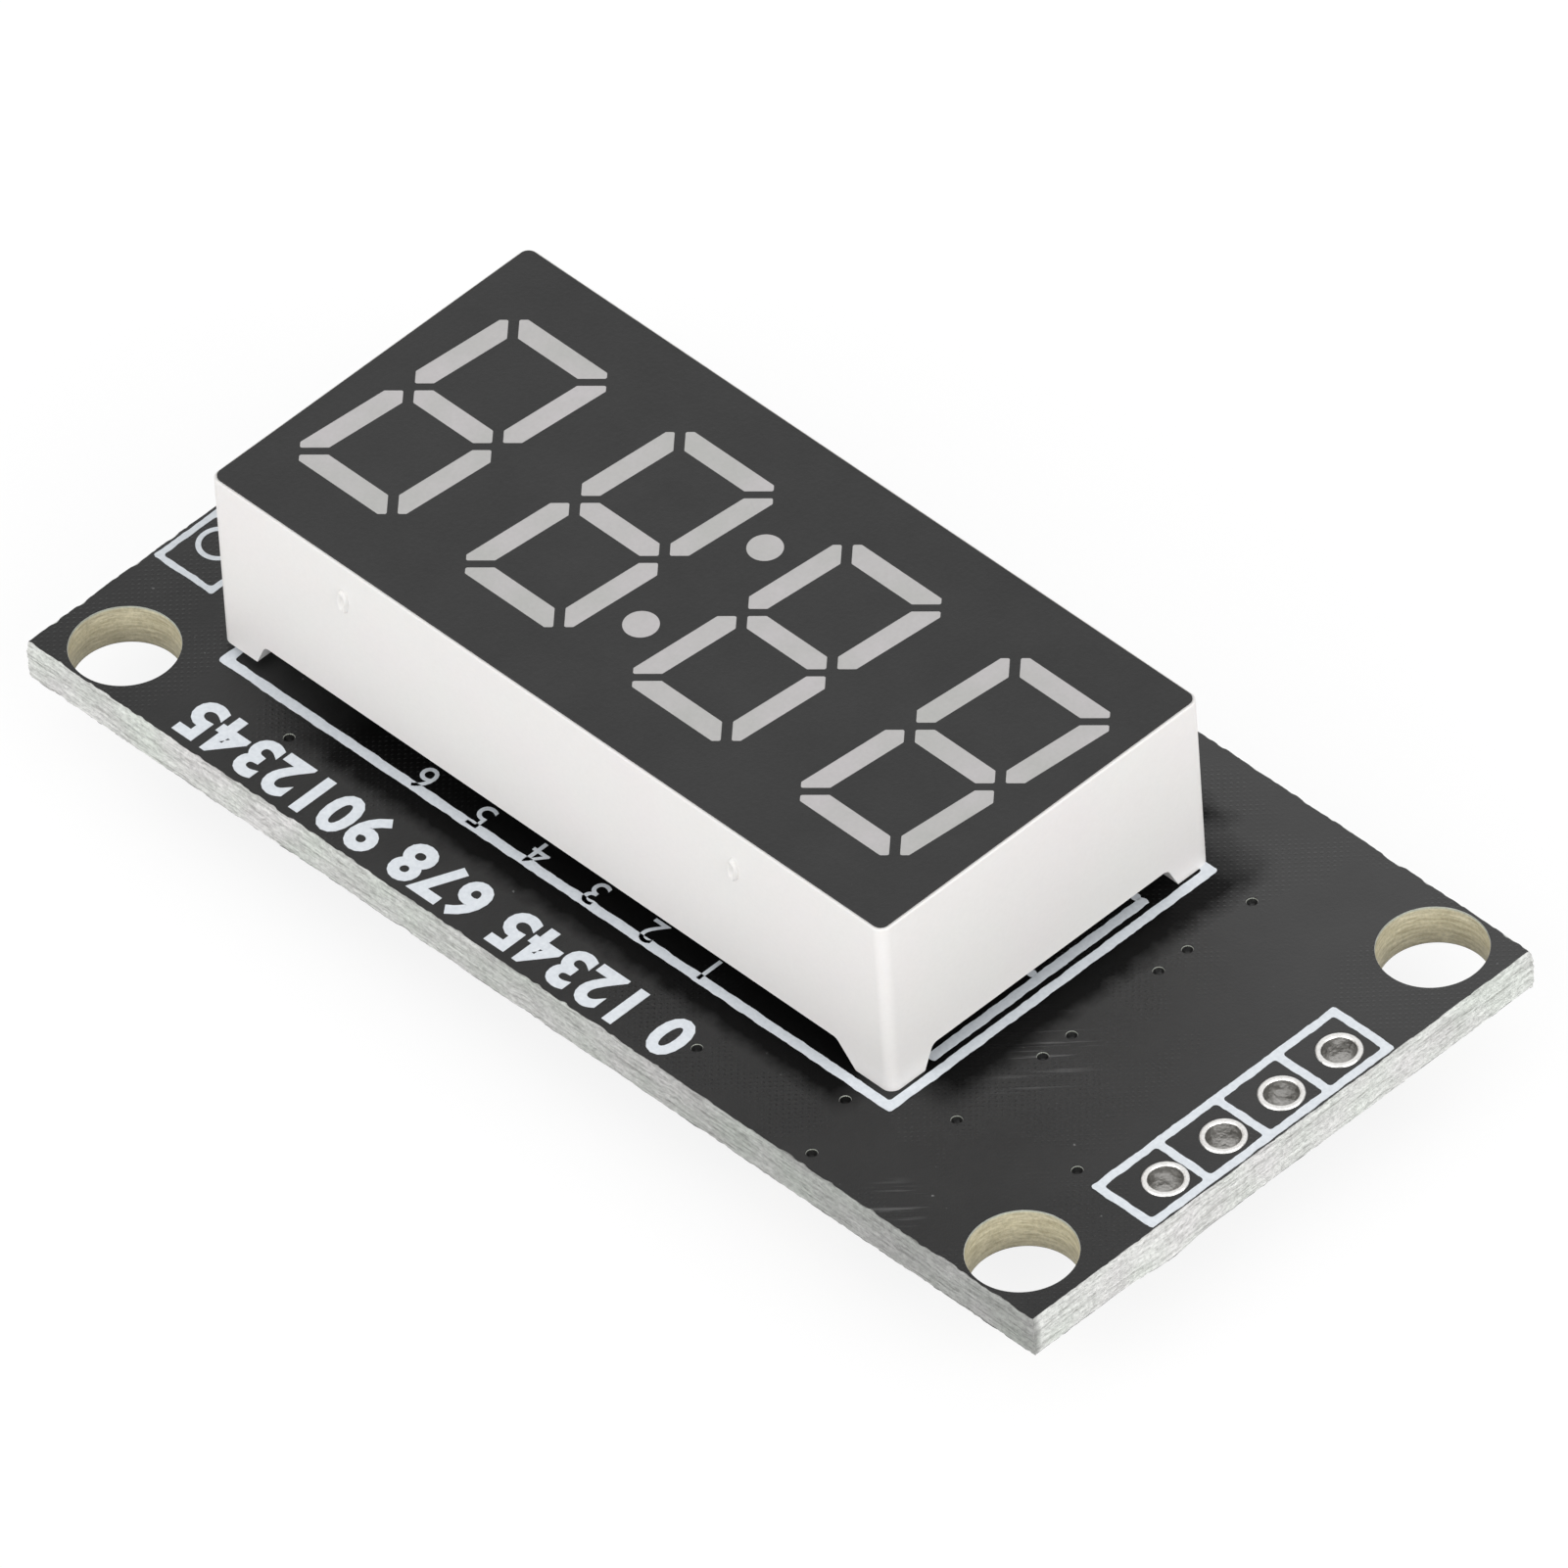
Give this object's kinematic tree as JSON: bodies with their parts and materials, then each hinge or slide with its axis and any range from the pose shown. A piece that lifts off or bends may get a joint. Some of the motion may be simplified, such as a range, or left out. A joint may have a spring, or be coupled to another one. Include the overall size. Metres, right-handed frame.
{
  "type": "seven segment display module",
  "caption": "Numeric display module: a flat board with corner holes carries a raised white housing with a black face, slanted seven segment digits and a colon.",
  "frame": {"origin": "centre of the four fixing holes, on the board's back face", "axes": "+X along the digits as they are read, +Y towards the digits' top, +Z out of the board's front, towards the reader"},
  "size_m": [0.045, 0.022, 0.0113],
  "materials": {
    "solder_mask": "satin black solder mask over a glass and epoxy laminate",
    "bare_laminate": "broken glass and epoxy edge, greyish white, and drilled hole walls, khaki",
    "silkscreen_ink": "cool white printed ink with slightly wavy edges",
    "tinned_metal": "bright hot-tinned coat",
    "housing_plastic": "satin warm white moulded plastic",
    "face_black": "matte black face with a fine tooth",
    "lens_resin": "milky light grey cast resin",
    "led_die": "bare LED die",
    "bond_gold": "fine gold wire",
    "carrier_laminate": "white-masked laminate",
    "seal_resin": "poured clear-grey epoxy",
    "pin_metal": "tin-plated lead",
    "solder": "bright smooth solder",
    "chip_moulding": "fine matte black moulding compound",
    "resistor_ceramic": "black glaze on white ceramic",
    "capacitor_ceramic": "tan sintered ceramic"
  },
  "bodies": {
    "root": {"header_pad_1": "tinned_metal", "header_pad_2": "tinned_metal", "header_pad_3": "tinned_metal", "header_pad_4": "tinned_metal", "circuit_board": "solder_mask", "display_housing": "housing_plastic", "face_sheet": "face_black", "digit_1_lights": "lens_resin", "digit_2_lights": "lens_resin", "digit_3_lights": "lens_resin", "digit_4_lights": "lens_resin", "colon_lights": "lens_resin", "digit_1_leds": "led_die", "digit_2_leds": "led_die", "digit_3_leds": "led_die", "digit_4_leds": "led_die", "colon_leds": "led_die", "bond_wires": "bond_gold", "led_board": "carrier_laminate", "back_seal": "seal_resin", "display_pin_1": "pin_metal", "display_pin_2": "pin_metal", "display_pin_3": "pin_metal", "display_pin_4": "pin_metal", "display_pin_5": "pin_metal", "display_pin_6": "pin_metal", "display_pin_7": "pin_metal", "display_pin_8": "pin_metal", "display_pin_9": "pin_metal", "display_pin_10": "pin_metal", "display_pin_11": "pin_metal", "display_pin_12": "pin_metal", "pin_solder_joints": "solder", "driver_chip": "chip_moulding", "driver_leads": "pin_metal", "clock_pullup_resistor": "resistor_ceramic", "clock_pullup_resistor_caps": "tinned_metal", "data_pullup_resistor": "resistor_ceramic", "data_pullup_resistor_caps": "tinned_metal", "clock_filter_capacitor": "capacitor_ceramic", "clock_filter_capacitor_caps": "tinned_metal", "bypass_capacitor": "capacitor_ceramic", "bypass_capacitor_caps": "tinned_metal", "data_filter_capacitor": "capacitor_ceramic", "data_filter_capacitor_caps": "tinned_metal", "bulk_capacitor": "capacitor_ceramic", "bulk_capacitor_caps": "tinned_metal"}
  },
  "joints": []
}
